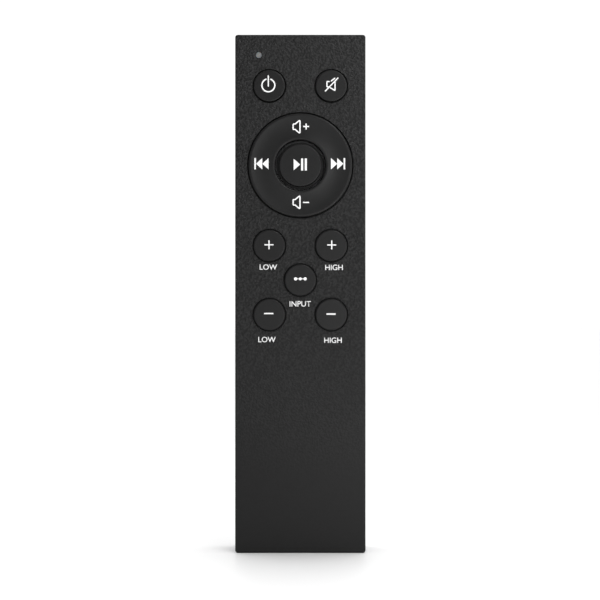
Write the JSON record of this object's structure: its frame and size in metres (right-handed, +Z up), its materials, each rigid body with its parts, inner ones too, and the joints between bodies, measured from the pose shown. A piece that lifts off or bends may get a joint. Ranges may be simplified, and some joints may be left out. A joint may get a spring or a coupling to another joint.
{
  "type": "soundbar remote control",
  "caption": "Slim handheld remote control for a soundbar, with round push keys, a tilting ring round a centre key, an indicator and a battery door on its back.",
  "frame": {"origin": "middle of the flat bottom end, which it stands on", "axes": "+Z up its length towards the infrared window, -Y out of the face with the keys, +X to the right as seen from that face"},
  "size_m": [0.038, 0.0169, 0.151],
  "materials": {
    "case_plastic": "matte",
    "key_plastic": "satin",
    "window_plastic": "gloss",
    "lens_plastic": "satin",
    "silicone": "matte",
    "carbon": "matte",
    "board_laminate": "satin",
    "contact_gold": "satin",
    "chip_epoxy": "matte",
    "plated_steel": "satin",
    "lamp_resin": "gloss",
    "resonator_ceramic": "satin",
    "capacitor_sleeve": "satin",
    "chip_ceramic": "matte",
    "cell_metal": "satin",
    "cell_sleeve": "gloss"
  },
  "bodies": {
    "case": {"front_case": "case_plastic", "rear_case": "case_plastic", "ir_window": "window_plastic", "indicator_lens": "lens_plastic", "case_screws": "plated_steel", "keypad_mat": "silicone", "circuit_board": "board_laminate", "key_contacts": "contact_gold", "control_chip": "chip_epoxy", "control_chip_leads": "plated_steel", "resonator": "resonator_ceramic", "electrolytic_capacitor": "capacitor_sleeve", "chip_resistors": "chip_epoxy", "chip_capacitors": "chip_ceramic", "drive_transistor": "chip_epoxy", "indicator_led": "lamp_resin", "ir_led": "lamp_resin", "left_cell_can": "cell_metal", "right_cell_can": "cell_metal", "left_cell_sleeve": "cell_sleeve", "right_cell_sleeve": "cell_sleeve", "positive_contact": "plated_steel", "negative_contact": "plated_steel", "link_contact": "plated_steel"},
    "power_key": {"power_key": "key_plastic", "power_pill": "carbon"},
    "mute_key": {"mute_key": "key_plastic", "mute_pill": "carbon"},
    "play_key": {"play_key": "key_plastic", "play_pill": "carbon"},
    "bass_up_key": {"bass_up_key": "key_plastic", "bass_up_pill": "carbon"},
    "treble_up_key": {"treble_up_key": "key_plastic", "treble_up_pill": "carbon"},
    "source_key": {"source_key": "key_plastic", "source_pill": "carbon"},
    "bass_down_key": {"bass_down_key": "key_plastic", "bass_down_pill": "carbon"},
    "treble_down_key": {"treble_down_key": "key_plastic", "treble_down_pill": "carbon"},
    "ring_pad": {"ring_pad": "silicone"},
    "volume_ring": {"volume_ring": "key_plastic", "ring_pills": "carbon"},
    "battery_door": {"battery_door": "case_plastic", "door_latch": "case_plastic"}
  },
  "joints": [
    {"name": "power_press", "type": "slide", "parent": "case", "child": "power_key", "axis": [0, 1, 0], "range_m": [0, 0.0008], "stiffness_N_per_m": 1500, "springref_m": -0.0004, "deforming": ["keypad_mat"]},
    {"name": "mute_press", "type": "slide", "parent": "case", "child": "mute_key", "axis": [0, 1, 0], "range_m": [0, 0.0008], "stiffness_N_per_m": 1500, "springref_m": -0.0004, "deforming": ["keypad_mat"]},
    {"name": "play_press", "type": "slide", "parent": "case", "child": "play_key", "axis": [0, 1, 0], "range_m": [0, 0.0008], "stiffness_N_per_m": 1500, "springref_m": -0.0004, "deforming": ["keypad_mat"]},
    {"name": "bass_up_press", "type": "slide", "parent": "case", "child": "bass_up_key", "axis": [0, 1, 0], "range_m": [0, 0.0008], "stiffness_N_per_m": 1500, "springref_m": -0.0004, "deforming": ["keypad_mat"]},
    {"name": "treble_up_press", "type": "slide", "parent": "case", "child": "treble_up_key", "axis": [0, 1, 0], "range_m": [0, 0.0008], "stiffness_N_per_m": 1500, "springref_m": -0.0004, "deforming": ["keypad_mat"]},
    {"name": "source_press", "type": "slide", "parent": "case", "child": "source_key", "axis": [0, 1, 0], "range_m": [0, 0.0008], "stiffness_N_per_m": 1500, "springref_m": -0.0004, "deforming": ["keypad_mat"]},
    {"name": "bass_down_press", "type": "slide", "parent": "case", "child": "bass_down_key", "axis": [0, 1, 0], "range_m": [0, 0.0008], "stiffness_N_per_m": 1500, "springref_m": -0.0004, "deforming": ["keypad_mat"]},
    {"name": "treble_down_press", "type": "slide", "parent": "case", "child": "treble_down_key", "axis": [0, 1, 0], "range_m": [0, 0.0008], "stiffness_N_per_m": 1500, "springref_m": -0.0004, "deforming": ["keypad_mat"]},
    {"name": "volume_tilt", "type": "hinge", "parent": "case", "child": "ring_pad", "pos_m": [0, -0.0062, 0.1129], "axis": [-1, 0, 0], "range_deg": [-2, 2], "stiffness_Nm_per_rad": 0.5, "deforming": ["ring_pad", "keypad_mat"]},
    {"name": "track_tilt", "type": "hinge", "parent": "ring_pad", "child": "volume_ring", "pos_m": [0, -0.0062, 0.1129], "axis": [0, 0, 1], "range_deg": [-2, 2], "stiffness_Nm_per_rad": 0.5, "deforming": ["ring_pad", "keypad_mat"]},
    {"name": "door_swing", "type": "hinge", "parent": "case", "child": "battery_door", "pos_m": [0, 0.008, 0.0055], "axis": [-1, 0, 0], "range_deg": [0, 60], "deforming": ["door_latch"]}
  ]
}
